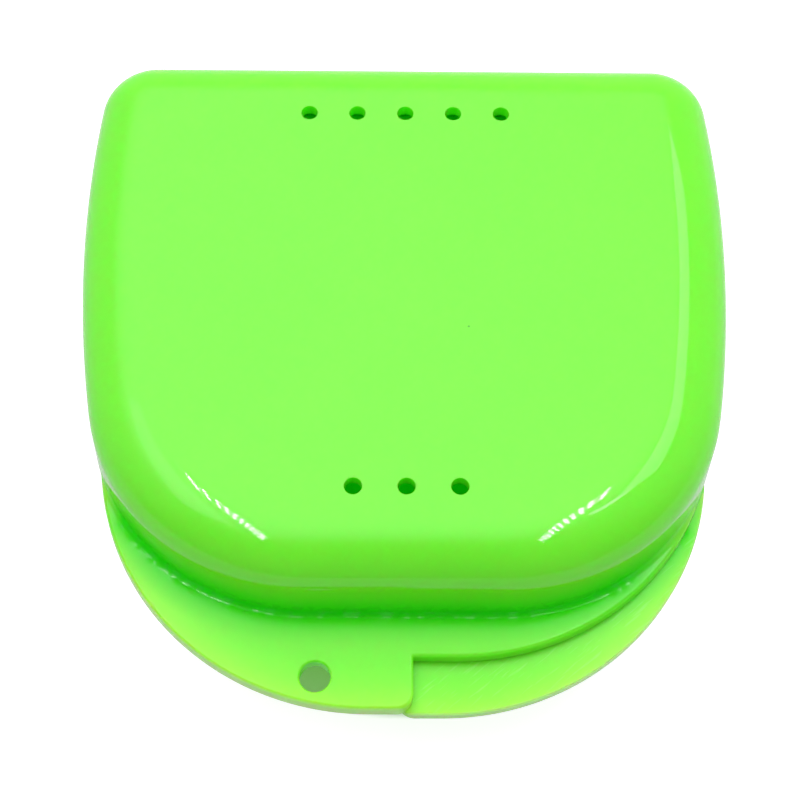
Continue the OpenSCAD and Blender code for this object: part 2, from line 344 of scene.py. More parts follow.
class HalfShell:
    """Grid of points of one half, with z rising from the parting plane to its flat face."""

    def __init__(self, s, plan, height):
        self.s = s
        self.plan = plan
        self.height = height
        self.points, self.normals = plan.columns()
        self.straight = self.normals[:, 1] < -0.999
        narrow, self.full = plan.flange_reaches(self.points, self.normals)
        self.narrow = np.where(self.full > narrow, np.maximum(narrow, self.bend(self.full)), narrow)
        self.lean = math.tan(s.draft)
        self.thick = s.wall / math.cos(s.draft)
        inset = (s.edge_r + (height - s.edge_r) * math.sin(s.draft)) / math.cos(s.draft)
        self.centre = (-inset, height - s.edge_r)
        self.rows = []
        self.marks = {}

    def bend(self, reach):
        """Width of the crease on a flange, no more than a share of its reach."""
        return np.minimum(self.s.crease_r + 0.1 * MM, 0.6 * reach)

    def add(self, out, z):
        """A row at a distance out of the outline on the parting plane, at height z."""
        flat = self.points + self.normals * np.broadcast_to(out, len(self.points))[:, None]
        self.rows.append(np.column_stack([flat, np.broadcast_to(z, len(self.points))]))

    def on_wall(self, q, z):
        """A row at a distance q from the drafted outer wall."""
        self.add(q - z * self.lean, z)

    def depth(self, q):
        """Distance from the outer edge of a row on the flange or under the wall."""
        at = self.points + self.normals * q[:, None]
        edge = np.where(self.full > 0, self.plan.edge_distance(at), 0)
        return np.maximum(edge, -q)

    def flange_top(self, q):
        """A row over the flange, which is hollow at the wall's foot and rounded at its edge."""
        s = self.s
        bend = np.clip(s.crease_r - q, 0, s.crease_r)
        crease = s.crease_r - np.sqrt(s.crease_r ** 2 - bend ** 2)
        z = s.flange_t + crease - rounding(self.depth(q), s.top_round)
        self.on_wall(q, z)
        return z

    def flange_under(self, q):
        """A row under the flange, rounded at its edge."""
        self.on_wall(q, rounding(self.depth(q), self.s.rim_round))

    def rows_between(self, lay, start, stop, steps):
        """Rows laid from one reach to another, and what laying the last one gave."""
        for step in steps:
            last = lay(start + (stop - start) * step)
        return last

    def soft_edge(self):
        """Rows of the moulded edge, from the flat face to the wall, fuller than a circle's."""
        s = self.s
        plan = self.plan
        room = s.back_corner_r - self.height * self.lean - 0.5 * MM
        behind = (self.points[:, 1] - plan.side_c[1]) / (plan.back_c[1] - plan.side_c[1])
        behind = np.clip(behind, 0, 1)
        near_corner = behind ** 2 * (3 - 2 * behind)
        run = s.edge_run - near_corner * max(s.edge_run - room, 0)
        wall_top = self.height - s.edge_drop
        self.on_wall(-run - BESIDE, self.height)
        power = 2 / s.edge_fullness
        for turn in np.linspace(math.pi / 2, 0, EDGE_STEPS + 1):
            in_by = 1 - max(math.cos(turn), 0) ** power
            self.on_wall(-run * in_by, wall_top + s.edge_drop * math.sin(turn) ** power)
        return wall_top

    def outside(self):
        """Rows from the flat face down the wall, over the flange and in under it."""
        s = self.s
        wall_top = self.soft_edge()
        crease_top = s.flange_t + s.crease_r
        top_w = s.top_round + 0.05 * MM
        under_w = s.rim_round + 0.03 * MM
        for z in np.linspace(wall_top, crease_top + BESIDE, 5)[1:]:
            self.on_wall(0, z)
        inner = self.bend(self.narrow)
        outer = self.narrow - np.minimum(top_w, 0.3 * self.narrow)
        self.rows_between(self.flange_top, 0, inner, 1 - np.cos(np.linspace(0, math.pi / 2, 11)))
        self.rows_between(self.flange_top, inner, outer, np.linspace(0, 1, 5)[1:])
        self.rows_between(self.flange_top, outer, self.narrow, eased(7))
        self.marks["tab_top"] = len(self.rows) - 1
        extra = self.full - self.narrow
        brink = self.full - np.minimum(top_w, 0.5 * extra)
        tab_steps = np.linspace(0, 1, 15)[1:]
        self.rows_between(self.flange_top, self.narrow, brink, tab_steps)
        z = self.rows_between(self.flange_top, brink, self.full, eased(7))
        for step in np.linspace(0, 1, 6)[1:-1]:
            self.on_wall(self.full, z + (s.rim_round - z) * step)
        ledge = self.full - np.minimum(under_w, 0.5 * extra)
        self.rows_between(self.flange_under, ledge, self.full, eased(5)[::-1])
        self.rows_between(self.flange_under, self.narrow, ledge, tab_steps[::-1])
        self.marks["tab_under"] = len(self.rows)
        shelf = self.narrow - np.minimum(under_w, 0.3 * self.narrow)
        self.rows_between(self.flange_under, shelf, self.narrow, eased(5)[::-1])
        self.rows_between(self.flange_under, 0, shelf, np.linspace(1, 0, 4))
        for step in np.array([0.15, 0.4, 0.75, 1.1]) * s.rim_round:
            self.flange_under(np.full(len(self.points), -step))

    def along_front(self, half_length):
        """1 on the straight front within a distance of the middle, 0 elsewhere."""
        return self.straight & (np.abs(self.points[:, 0]) < half_length + SAME)

    def well(self):
        """Rows of the inner rounding and the flat face inside."""
        s = self.s
        for turn in np.linspace(s.draft, math.pi / 2, 13):
            radius = s.edge_r - s.wall
            self.add(self.centre[0] + radius * math.cos(turn), self.centre[1] + radius * math.sin(turn))
        self.add(self.centre[0] - BESIDE, self.height - s.wall)

    def lid_inside(self):
        """Rows from the rim up the lid's inner wall to the ceiling, with the snap groove."""
        s = self.s
        r = s.rim_round
        for step in (0.5, 1.0):
            self.add(-self.thick * step + (1.2 * r if step == 1.0 else 0), 0)
        for turn in np.linspace(0, math.pi / 2, 5)[1:]:
            z = r * (1 - math.cos(turn))
            self.add(-self.thick - z * self.lean + r * (1 - math.sin(turn)), z)
        groove_r = s.bead_r + s.bead_gap
        bead_z = s.lip_h / 2
        grooved = self.along_front(s.bead_len / 2 + s.bead_gap - BESIDE)
        axis = -self.thick - s.lip_gap
        top = self.centre[1] + (s.edge_r - s.wall) * math.sin(s.draft)
        heights = np.concatenate([
            bead_z + groove_r * np.sin(np.radians(np.linspace(-70, 90, 17))),
            np.linspace(bead_z + groove_r, top, 7)[1:-1]])
        for z in heights:
            wall = -self.thick - z * self.lean
            cut = axis + math.sqrt(max(groove_r ** 2 - (z - bead_z) ** 2, 0))
            self.add(np.where(grooved, max(wall, cut), wall), z)
        self.well()

    def base_inside(self):
        """Rows from the rim over the lip with its bead and down the base's inner wall."""
        s = self.s
        lip_out = self.thick + s.lip_gap
        bead_z = s.lip_h / 2
        beaded = self.along_front(s.bead_len / 2 - BESIDE)
        self.add(-lip_out * 0.6, 0)
        self.add(-lip_out + 0.05 * MM, 0)
        across_bead = np.sin(np.radians(np.linspace(-90, 90, 15)))
        for z in np.concatenate([[0.05 * MM], bead_z + s.bead_r * across_bead]):
            wall = -lip_out - z * self.lean
            bump = -lip_out + math.sqrt(max(s.bead_r ** 2 - (z - bead_z) ** 2, 0))
            self.add(np.where(beaded, max(wall, bump), wall), -z)
        r = s.lip_round
        top_lean = s.lip_h * self.lean
        for turn in np.linspace(0, math.pi / 2, 6):
            self.add(-lip_out - top_lean - r * (1 - math.cos(turn)), -(s.lip_h - r + r * math.sin(turn)))
        inner = -lip_out - top_lean - s.lip_t
        for turn in np.linspace(math.pi / 2, 0, 6):
            self.add(inner + r * (1 - math.cos(turn)), -(s.lip_h - r + r * math.sin(turn)))
        foot = s.lip_h / 2
        for z in (-0.5 * s.lip_h, 0.0, foot - 0.2 * MM, foot):
            self.add(inner, z)
        meet = (foot - inner - self.thick) / (1 + self.lean)
        self.add(inner + (meet - foot) * 0.5, foot + (meet - foot) * 0.5)
        top = self.centre[1] + (s.edge_r - s.wall) * math.sin(s.draft)
        for z in np.concatenate([[meet, meet + 0.2 * MM], np.linspace(meet, top, 6)[1:-1]]):
            self.add(-self.thick - z * self.lean, z)
        self.well()

    def mesh(self, name, plastic):
        """A closed mesh of all the rows."""
        grid = np.array(self.rows)
        n_rows, n_columns = grid.shape[:2]
        step = np.flatnonzero(self.straight & np.isclose(self.points[:, 0], self.s.tab_overlap))[0]
        first, last = self.marks["tab_top"], self.marks["tab_under"]
        index = np.arange(n_rows * n_columns).reshape(n_rows, n_columns)
        heights = grid[first:last + 1, step, 2]
        edge = self.points[step] + np.outer(self.narrow[step] - heights * self.lean, self.normals[step])
        beside = n_rows * n_columns + np.arange(len(heights))
        points = np.concatenate([grid.reshape(-1, 3), np.column_stack([edge, heights])])
        faces = []
        for column in range(n_columns):
            left = index[:, column].copy()
            right = index[:, (column + 1) % n_columns]
            if column == step:
                left[first:last + 1] = beside
            faces += list(zip(left[:-1], left[1:], right[1:], right[:-1]))
        faces += [[*index[first:last + 1, step], *beside[::-1]], index[0], index[-1][::-1]]
        return closed_mesh(name, points, faces, plastic)


def closed_mesh(name, points, faces, material):
    """A mesh whose points are merged where they coincide, without the faces that this folds up."""
    merged, place = np.unique(np.round(points / MERGE_DISTANCE), axis=0, return_inverse=True)
    place = place.reshape(-1)
    kept = []
    for face in faces:
        corners = [int(place[i]) for i in face]
        corners = [c for i, c in enumerate(corners) if c != corners[i - 1]]
        if len(set(corners)) > 2:
            kept.append(corners)
    mesh = bpy.data.meshes.new(name)
    mesh.from_pydata((merged * MERGE_DISTANCE).tolist(), [], kept)
    mesh.materials.append(material)
    mesh.validate()
    return mesh


def add(tree, kind, inputs=None, **options):
    """A new node with its options, and with its inputs set or linked."""
    node = tree.nodes.new(kind)
    for key, value in options.items():
        setattr(node, key, value)
    for key, value in (inputs or {}).items():
        if isinstance(value, bpy.types.NodeSocket):
            tree.links.new(value, node.inputs[key])
        else:
            node.inputs[key].default_value = value
    return node


def calc(tree, operation, *values):
    """Result of a Math node."""
    return add(tree, "ShaderNodeMath", dict(enumerate(values)), operation=operation).outputs[0]


def remap(tree, value, low, high, first=0.0, last=1.0, **options):
    """A value that goes from first to last as the given one goes from low to high."""
    return add(tree, "ShaderNodeMapRange", {"Value": value, 1: low, 2: high, 3: first, 4: last},
               **options).outputs[0]


def mix_values(tree, share, first, second):
    """A number between two others."""
    return add(tree, "ShaderNodeMix", {0: share, 2: first, 3: second}).outputs[0]


def mix_colours(tree, share, first, second):
    """A colour between two others."""
    return add(tree, "ShaderNodeMix", {0: share, 6: first, 7: second}, data_type="RGBA").outputs[2]


def noise(tree, place, scale, detail, distortion=0.0):
    """Soft noise with so many patches to the metre."""
    return add(tree, "ShaderNodeTexNoise", {"Vector": place, "Scale": scale, "Detail": detail,
                                            "Distortion": distortion}).outputs["Fac"]


def new_material(name):
    """A material and its empty tree."""
    material = bpy.data.materials.new(name)
    material.use_nodes = True
    material.node_tree.nodes.clear()
    return material, material.node_tree


def new_tree(name, sockets):
    """A Geometry Nodes tree with a geometry input, more named inputs and a geometry output."""
    tree = bpy.data.node_groups.new(name, "GeometryNodeTree")
    tree.interface.new_socket("Geometry", in_out="INPUT", socket_type="NodeSocketGeometry")
    for label, kind in sockets:
        tree.interface.new_socket(label, in_out="INPUT", socket_type=kind)
    tree.interface.new_socket("Geometry", in_out="OUTPUT", socket_type="NodeSocketGeometry")
    return tree, tree.nodes.new("NodeGroupInput").outputs


def end_tree(tree, geometry, given):
    """Realize Instances and Set Material at the end of a tree."""
    solid = add(tree, "GeometryNodeRealizeInstances", {"Geometry": geometry})
    painted = add(tree, "GeometryNodeSetMaterial",
                  {"Geometry": solid.outputs[0], "Material": given["Material"]})
    add(tree, "NodeGroupOutput", {"Geometry": painted.outputs[0]})
    return tree


def centred_row(tree, piece, number_of, step, middle=(0, 0, 0)):
    """Copies of a piece at equal steps, centred on a place."""
    back = calc(tree, "MULTIPLY", calc(tree, "SUBTRACT", number_of, 1.0), -0.5)
    first = add(tree, "ShaderNodeVectorMath", {0: step, "Scale": back}, operation="SCALE")
    start = add(tree, "ShaderNodeVectorMath", {0: middle, 1: first.outputs[0]})
    places = add(tree, "GeometryNodeMeshLine", {
        "Count": number_of, "Start Location": start.outputs[0], "Offset": step})
    return add(tree, "GeometryNodeInstanceOnPoints",
               {"Points": places.outputs[0], "Instance": piece}).outputs[0]


def row_of_holes():
    """Tree that cuts a row of round holes, with rounded mouths, along Z through a wall."""
    tree, given = new_tree("row of round holes", (
        ("Count", "NodeSocketInt"), ("Pitch", "NodeSocketFloat"), ("Middle", "NodeSocketVector"),
        ("Radius", "NodeSocketFloat"), ("Depth", "NodeSocketFloat"), ("Flare", "NodeSocketFloat"),
        ("Material", "NodeSocketMaterial")))
    radius, depth, flare = given["Radius"], given["Depth"], given["Flare"]
    tall = calc(tree, "ADD", depth, calc(tree, "MULTIPLY", flare, 2.0))
    plug = add(tree, "GeometryNodeMeshCylinder", {
        "Vertices": 48, "Side Segments": 64, "Radius": radius, "Depth": tall})
    at = add(tree, "GeometryNodeInputPosition")
    split = add(tree, "ShaderNodeSeparateXYZ", {0: at.outputs[0]}).outputs
    # The plug widens along most of a quarter circle as it nears the wall's face
    lower = calc(tree, "SUBTRACT", calc(tree, "MULTIPLY", depth, 0.5), flare)
    rise = calc(tree, "SUBTRACT", calc(tree, "ABSOLUTE", split["Z"]), lower)
    share = add(tree, "ShaderNodeClamp", {
        "Value": calc(tree, "DIVIDE", rise, flare), "Min": 0.0, "Max": 0.93}).outputs[0]
    root = calc(tree, "SQRT", calc(tree, "SUBTRACT", 1.0, calc(tree, "MULTIPLY", share, share)))
    grow = calc(tree, "MULTIPLY", calc(tree, "SUBTRACT", 1.0, root), flare)
    flat = add(tree, "ShaderNodeCombineXYZ", {"X": split["X"], "Y": split["Y"]})
    push = add(tree, "ShaderNodeVectorMath", {
        0: flat.outputs[0], "Scale": calc(tree, "DIVIDE", grow, radius)}, operation="SCALE")
    flared = add(tree, "GeometryNodeSetPosition",
                 {"Geometry": plug.outputs["Mesh"], "Offset": push.outputs[0]})
    step = add(tree, "ShaderNodeCombineXYZ", {"X": given["Pitch"]})
    plugs = centred_row(tree, flared.outputs[0], given["Count"], step.outputs[0], given["Middle"])
    solid = add(tree, "GeometryNodeRealizeInstances", {"Geometry": plugs})
    cut = add(tree, "GeometryNodeMeshBoolean",
              {"Mesh 1": given["Geometry"], "Mesh 2": solid.outputs[0]},
              operation="DIFFERENCE", solver="EXACT")
    return end_tree(tree, cut.outputs["Mesh"], given)


def row_of_copies():
    """Tree that repeats a piece at equal steps, centred on its own place."""
    tree, given = new_tree("row of copies", (
        ("Count", "NodeSocketInt"), ("Step", "NodeSocketVector"), ("Material", "NodeSocketMaterial")))
    copies = centred_row(tree, given["Geometry"], given["Count"], given["Step"])
    return end_tree(tree, copies, given)


def run_tree(obj, tree, values):
    """Adds a tree to an object as a modifier, with its named inputs set."""
    modifier = obj.modifiers.new(tree.name, "NODES")
    modifier.node_group = tree
    for item in tree.interface.items_tree:
        if item.in_out == "INPUT" and item.name in values:
            modifier[item.identifier] = values[item.name]
    return modifier


def new_object(name, mesh):
    """A new object in the scene."""
    obj = bpy.data.objects.new(name, mesh)
    bpy.context.scene.collection.objects.link(obj)
    return obj


def settle(obj, to_place=None):
    """Turns an object's live modifiers into a plain mesh, moved to its place."""
    bpy.context.view_layer.update()
    seen = obj.evaluated_get(bpy.context.evaluated_depsgraph_get())
    mesh = bpy.data.meshes.new_from_object(seen)
    if to_place is not None:
        mesh.transform(to_place)
    old = obj.data
    mesh.name = obj.name
    obj.modifiers.clear()
    obj.data = mesh
    bpy.data.meshes.remove(old)
    return obj


def smooth(obj, sharp_degrees=38):
    """Smooth shading that keeps sharp edges sharp and flat faces flat."""
    mesh = obj.data
    mesh.polygons.foreach_set("use_smooth", [True] * len(mesh.polygons))
    mesh.set_sharp_from_angle(angle=math.radians(sharp_degrees))
    weighted = obj.modifiers.new("flat faces lead", "WEIGHTED_NORMAL")
    weighted.keep_sharp = True
    return settle(obj)


def mark_surface(obj, s, plan, tab_side):
    """Point attributes that the plastic reads, from each point's place on the closed case.

    The flange is 1 on the front flange and 0 on the body, and the scuffs are the same on the base
    alone. The rim is 1 at the flange's outer edge and fades inwards, and the foot is 1 where the wall
    meets the flange and fades both ways."""
    mesh = obj.data
    at = np.empty(3 * len(mesh.vertices))
    mesh.vertices.foreach_get("co", at)
    at = at.reshape(-1, 3)
    flat = at[:, :2] * np.array([tab_side, 1.0])
    level = np.abs(at[:, 2] - s.base_h)
    foot_up, foot_out, rim_w, handled_w = 7 * MM, 4 * MM, 6 * MM, 1.5 * MM
    low = np.flatnonzero((level < s.flange_t + foot_up) & (flat[:, 1] < plan.front_c[1]))
    flat, level = flat[low], level[low]
    outline, normals = plan.columns()
    apart = flat[:, None, :] - outline[None, :, :]
    nearest = (apart ** 2).sum(2).argmin(1)
    rows = np.arange(len(flat))
    out = (apart[rows, nearest] * normals[nearest]).sum(1) + level * math.tan(s.draft)
    reach = plan.flange_reaches(outline, normals)[1][nearest]
    on_flange = (reach > 0.3 * MM) & (out > 0.1 * MM) & (level < s.flange_t + s.crease_r)
    depth = plan.stadium(flat, s.tab_reach, s.tab_end_r, s.tab_flat_w)
    away = np.maximum(out / foot_out, (level - s.flange_t) / foot_up)
    beside = np.clip(reach / (2 * MM), 0, 1) * (out > -0.1 * MM)
    held = np.where(on_flange, np.clip(out / handled_w, 0, 1), 0.0)
    marks = {
        "flange": held,
        "scuffs": held * (tab_side < 0),
        "rim": np.where(on_flange, np.clip(1 - depth / rim_w, 0, 1), 0.0),
        "foot": beside * np.clip(1 - away, 0, 1),
    }
    for name, values in marks.items():
        whole = np.zeros(len(at))
        whole[low] = values
        mesh.attributes.new(name, "FLOAT", "POINT").data.foreach_set("value", whole)


def finish_shell(shell, place, s, plan, tab_side):
    """Settles a shell where it lies on the closed case, with its shading and its marks."""
    settle(shell, place)
    smooth(shell)
    mark_surface(shell, s, plan, tab_side)


def hand_over(obj, body, node):
    """Lets a finished piece stand for its CAD node."""
    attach(obj, body)
    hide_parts(node)


def moulded_polypropylene(finish):
    """Injection-moulded polypropylene from a polished mould: a saturated body colour with a clear
    gloss, faint flow marks, a slight ripple in the reflections and a few specks of pigment."""
    material, tree = new_material("moulded polypropylene")
    place = add(tree, "ShaderNodeTexCoord").outputs["Object"]
    flange, scuffs, rim, foot = (
        add(tree, "ShaderNodeAttribute", attribute_name=name).outputs["Fac"]
        for name in ("flange", "scuffs", "rim", "foot"))
    # Flow marks about 18 mm across, so 55 to the metre
    tone = mix_colours(tree, noise(tree, place, 55, 3, 0.6), finish.plastic, finish.plastic_deep)
    # Painted light: the flange is painted paler towards its thin outer edge, for the light that gathers
    # there
    tone = mix_colours(tree, calc(tree, "POWER", rim, 2.0), tone, finish.painted_edge_light)
    # Painted light: the thin outer face itself, within 0.3 mm of the edge, is painted palest, as if lit
    # through the plastic
    tone = mix_colours(tree, remap(tree, rim, 0.95, 1.0), tone, finish.brink_light_and_scratches)
    # Painted shade: the plastic is painted a deeper green where the wall meets the flange, for the shade
    # and green light that gather in the crease
    tone = mix_colours(tree, calc(tree, "POWER", foot, 1.3), tone, finish.painted_foot_shade)
    # Hair scratches on the base's tab, about 4 mm long and 0.4 mm apart, painted pale: real wear with a
    # painted sheen
    along = add(tree, "ShaderNodeMapping", {
        "Vector": place, "Rotation": (0, 0, math.radians(40)), "Scale": (10, 1, 1)},
        vector_type="TEXTURE").outputs[0]
    worn_and_sheen = remap(tree, noise(tree, along, 2500, 2), 0.58, 0.7, 0.0, 0.14)
    tone = mix_colours(tree, calc(tree, "MULTIPLY", worn_and_sheen, scuffs), tone, finish.brink_light_and_scratches)
    # Pigment specks about 8 mm apart in the plastic and 0.3 mm across
    grains = add(tree, "ShaderNodeTexVoronoi", {"Vector": place, "Scale": 120.0}).outputs["Distance"]
    tone = mix_colours(tree, remap(tree, grains, 0.014, 0.024, 0.6, 0.0), tone, finish.speck)
    # Handling haze in patches of about 6 mm
    polished = remap(tree, noise(tree, place, 160, 4), 0.3, 0.7,
                     finish.plastic_roughness * 0.8, finish.plastic_roughness * 1.3)
    # Fingers have dulled the flange
    rough = mix_values(tree, flange, polished, finish.flange_roughness)
    dulled = remap(tree, flange, 0.0, 1.0, 0.5, 0.34)
    # Residue in patches of about 1 mm breaks up the gloss in the crease
    clean = remap(tree, noise(tree, place, 900, 1), 0.5, 0.6, 0.1, 1.0)
    patchy = mix_values(tree, remap(tree, foot, 0.6, 0.8), 1.0, clean)
    # Ripple of the cooling skin, about 3 mm and strongest at the wall's foot, over a grain of 0.3 mm
    waved = add(tree, "ShaderNodeBump", {
        "Height": noise(tree, place, 330, 1), "Strength": remap(tree, foot, 0.2, 1.0, 0.05, 0.6),
        "Distance": 0.04 * MM})
    grained = add(tree, "ShaderNodeBump", {
        "Height": noise(tree, place, 3300, 2), "Strength": 0.02, "Distance": 0.006 * MM,
        "Normal": waved.outputs[0]})
    shader = add(tree, "ShaderNodeBsdfPrincipled", {
        "Base Color": tone, "Roughness": rough, "Normal": grained.outputs[0], "IOR": 1.49,
        "Specular IOR Level": calc(tree, "MULTIPLY", dulled, patchy), "Subsurface Weight": 1.0,
        "Subsurface Scale": finish.scatter, "Subsurface Radius": (0.1, 1.0, 0.04)})
    add(tree, "ShaderNodeOutputMaterial", {"Surface": shader.outputs[0]})
    return material


def drawn_steel_wire(finish):
    """Stainless steel wire, drawn and cut: a grey metal with fine lines along its length."""
    material, tree = new_material("drawn stainless steel wire")
    place = add(tree, "ShaderNodeTexCoord").outputs["Object"]
    # Draw lines about 0.1 mm apart that run along X
    stretched = add(tree, "ShaderNodeMapping", {"Vector": place, "Scale": (0.02, 1.0, 1.0)})
    lines = noise(tree, stretched.outputs[0], 10000, 2)
    rough = remap(tree, lines, 0.3, 0.7, finish.steel_roughness - 0.08, finish.steel_roughness + 0.1)
    bump = add(tree, "ShaderNodeBump", {"Height": lines, "Strength": 0.3, "Distance": 0.01 * MM})
    shader = add(tree, "ShaderNodeBsdfPrincipled", {
        "Base Color": finish.steel, "Metallic": 1.0, "Roughness": rough, "Normal": bump.outputs[0]})
    add(tree, "ShaderNodeOutputMaterial", {"Surface": shader.outputs[0]})
    return material


def shared(name, make, *given):
    """A material or tree that is made once and then used again."""
    found = bpy.data.materials.get(name) or bpy.data.node_groups.get(name)
    return found or make(*given)


def barrels(s, plan, width, bore_r, pairs, plastic):
    """The hinge barrels of one half with their webs, in the half's own frame."""
    r = s.barrel_d / 2
    turns = np.linspace(math.pi, 2.5 * math.pi, 46)
    inner_y = plan.back_y - s.wall / 2
    profile = [(inner_y, 0.0)]
    profile += [(plan.axis_y + r * math.cos(t), r * math.sin(t)) for t in turns]
    profile.append((inner_y, r))
    bm = bmesh.new()
    face = bm.faces.new([bm.verts.new((y, z, -width / 2)) for y, z in profile])
    face.normal_update()
    grown = bmesh.ops.extrude_face_region(bm, geom=[face])
    top = [v for v in grown["geom"] if isinstance(v, bmesh.types.BMVert)]
    bmesh.ops.translate(bm, verts=top, vec=(0, 0, width))
    bmesh.ops.recalc_face_normals(bm, faces=bm.faces)
    ends = [e for e in bm.edges if abs(e.verts[0].co.z - e.verts[1].co.z) < width / 2]
    bmesh.ops.bevel(bm, geom=ends, offset=s.barrel_round, segments=4, profile=0.5, affect="EDGES")
    mesh = bpy.data.meshes.new("hinge barrel")
    bm.to_mesh(mesh)
    bm.free()
    obj = new_object("hinge barrels", mesh)
    run_tree(obj, shared("row of round holes", row_of_holes), {
        "Count": 1, "Pitch": 0.0, "Middle": (plan.axis_y, 0.0, 0.0), "Radius": bore_r,
        "Depth": width, "Flare": s.barrel_round / 2, "Material": plastic})
    upright_to_case = Matrix(((0, 0, 1, 0), (1, 0, 0, 0), (0, 1, 0, 0), (0, 0, 0, 1)))
    settle(obj, upright_to_case)
    for number_of, gap in pairs:
        run_tree(obj, shared("row of copies", row_of_copies), {
            "Count": number_of, "Step": (gap, 0.0, 0.0), "Material": plastic})
        settle(obj)
    return obj


def join_barrels(shell, fitted):
    """Unites the barrels with their shell and takes the loose copy away."""
    union = shell.modifiers.new("barrels", "BOOLEAN")
    union.operation = "UNION"
    union.solver = "EXACT"
    union.object = fitted
    settle(shell)
    bpy.data.objects.remove(fitted)


class RETAINER_OT_lid_shell(bpy.types.Operator):
    """Builds the vented lid with its finger tab, lanyard hole and hinge barrels"""

    bl_idname = "retainer.lid_shell"
    bl_label = "Lid shell"

    def execute(self, context):
        s = context.scene.retainer_sizes
        plan = Plan(s)
        plastic = shared("moulded polypropylene", moulded_polypropylene, context.scene.retainer_finish)
        half = HalfShell(s, plan, s.lid_h)
        half.outside()
        half.lid_inside()
        lid = new_object("lid", half.mesh("lid", plastic))
        join_barrels(lid, barrels(s, plan, s.lid_barrel_w, s.pin_d / 2 + s.pin_clearance,
                                  ((2, 2 * s.hinge_x),), plastic))
        holes = shared("row of round holes", row_of_holes)
        through_top = s.lid_h - s.wall / 2
        rows = ((s.vent_back_count, plan.back_y - s.vent_back_inset),
                (s.vent_front_count, plan.front_y + s.vent_front_inset))
        for number_of, y in rows:
            run_tree(lid, holes, {
                "Count": number_of, "Pitch": s.vent_pitch, "Middle": (0.0, y, through_top),
                "Radius": s.vent_d / 2, "Depth": s.wall, "Flare": s.vent_flare, "Material": plastic})
        run_tree(lid, holes, {
            "Count": 1, "Pitch": 0.0, "Radius": s.lanyard_d / 2, "Depth": s.flange_t,
            "Middle": (-s.lanyard_x, plan.front_y - s.tab_reach + s.lanyard_inset, s.flange_t / 2),
            "Flare": s.lanyard_flare, "Material": plastic})
        finish_shell(lid, Matrix.Translation((0, 0, s.base_h)), s, plan, 1)
        hand_over(lid, "lid", "lid_shell")
        return {"FINISHED"}


class RETAINER_OT_base_shell(bpy.types.Operator):
    """Builds the base with its lip, snap bead, finger tab and hinge barrels"""

    bl_idname = "retainer.base_shell"
    bl_label = "Base shell"

    def execute(self, context):
        s = context.scene.retainer_sizes
        plan = Plan(s)
        plastic = shared("moulded polypropylene", moulded_polypropylene, context.scene.retainer_finish)
        half = HalfShell(s, plan, s.base_h)
        half.outside()
        half.base_inside()
        base = new_object("base", half.mesh("base", plastic))
        pair = plan.hinge_w - s.base_barrel_w
        join_barrels(base, barrels(s, plan, s.base_barrel_w, s.pin_d / 2,
                                   ((2, pair), (2, 2 * s.hinge_x)), plastic))
        turned = Matrix.Rotation(math.pi, 4, "Y")
        finish_shell(base, Matrix.Translation((0, 0, s.base_h)) @ turned, s, plan, -1)
        hand_over(base, "base", "base_shell")
        return {"FINISHED"}


class RETAINER_OT_hinge_pins(bpy.types.Operator):
    """Builds the two steel hinge pins"""

    bl_idname = "retainer.hinge_pins"
    bl_label = "Hinge pins"

    def execute(self, context):
        s = context.scene.retainer_sizes
        plan = Plan(s)
        steel = shared("drawn stainless steel wire", drawn_steel_wire, context.scene.retainer_finish)
        half = plan.hinge_w / 2 - s.pin_recess
        r = s.pin_d / 2
        c = s.pin_chamfer
        # Places along the pin and radii from the middle of one cut end to its shank
        end = ((half - 0.06 * MM, 0.0), (half - 0.05 * MM, 0.3 * (r - c)), (half, 0.75 * (r - c)),
               (half, r - c), (half - 0.25 * c, r - 0.55 * c), (half - c, r), (half - 1.5 * c, r))
        profile = list(end) + [(-x, y) for x, y in end[::-1]]
        sides = 48
        turns = np.linspace(0, 2 * math.pi, sides, endpoint=False)
        for name, x0 in (("hinge_pin_left", -s.hinge_x), ("hinge_pin_right", s.hinge_x)):
            points = np.array([(x0 + x, plan.axis_y + y * math.cos(t), s.base_h + y * math.sin(t))
                               for x, y in profile for t in turns])
            index = np.arange(len(points)).reshape(len(profile), sides)
            faces = []
            for ring, nearer in zip(index[:-1], index[1:]):
                faces += list(zip(ring, nearer, np.roll(nearer, -1), np.roll(ring, -1)))
            pin = new_object(name.replace("hinge_", ""), closed_mesh(name, points, faces, steel))
            smooth(pin)
            hand_over(pin, "base", name)
        return {"FINISHED"}


def background_share(tree, camera_strength, mirror_strength):
    """Strength that only camera rays, mirror rays and rays through glass see."""
    path = add(tree, "ShaderNodeLightPath").outputs
    either = calc(tree, "MAXIMUM", path["Is Glossy Ray"], path["Is Transmission Ray"])
    mirrored = calc(tree, "MULTIPLY", either, mirror_strength)
    return calc(tree, "MULTIPLY_ADD", path["Is Camera Ray"], camera_strength, mirrored)


def area_light(name, place, size, turn, watts, mirrored_only=False):
    """A rectangular lamp that faces down, turned about the upright."""
    data = bpy.data.lights.new(name, "AREA")
    data.shape = "RECTANGLE"
    data.size, data.size_y = size
    data.energy = watts
    light = bpy.data.objects.new(name, data)
    light.location = place
    light.rotation_euler = (0, 0, turn)
    light.visible_diffuse = not mirrored_only
    bpy.context.scene.collection.objects.link(light)


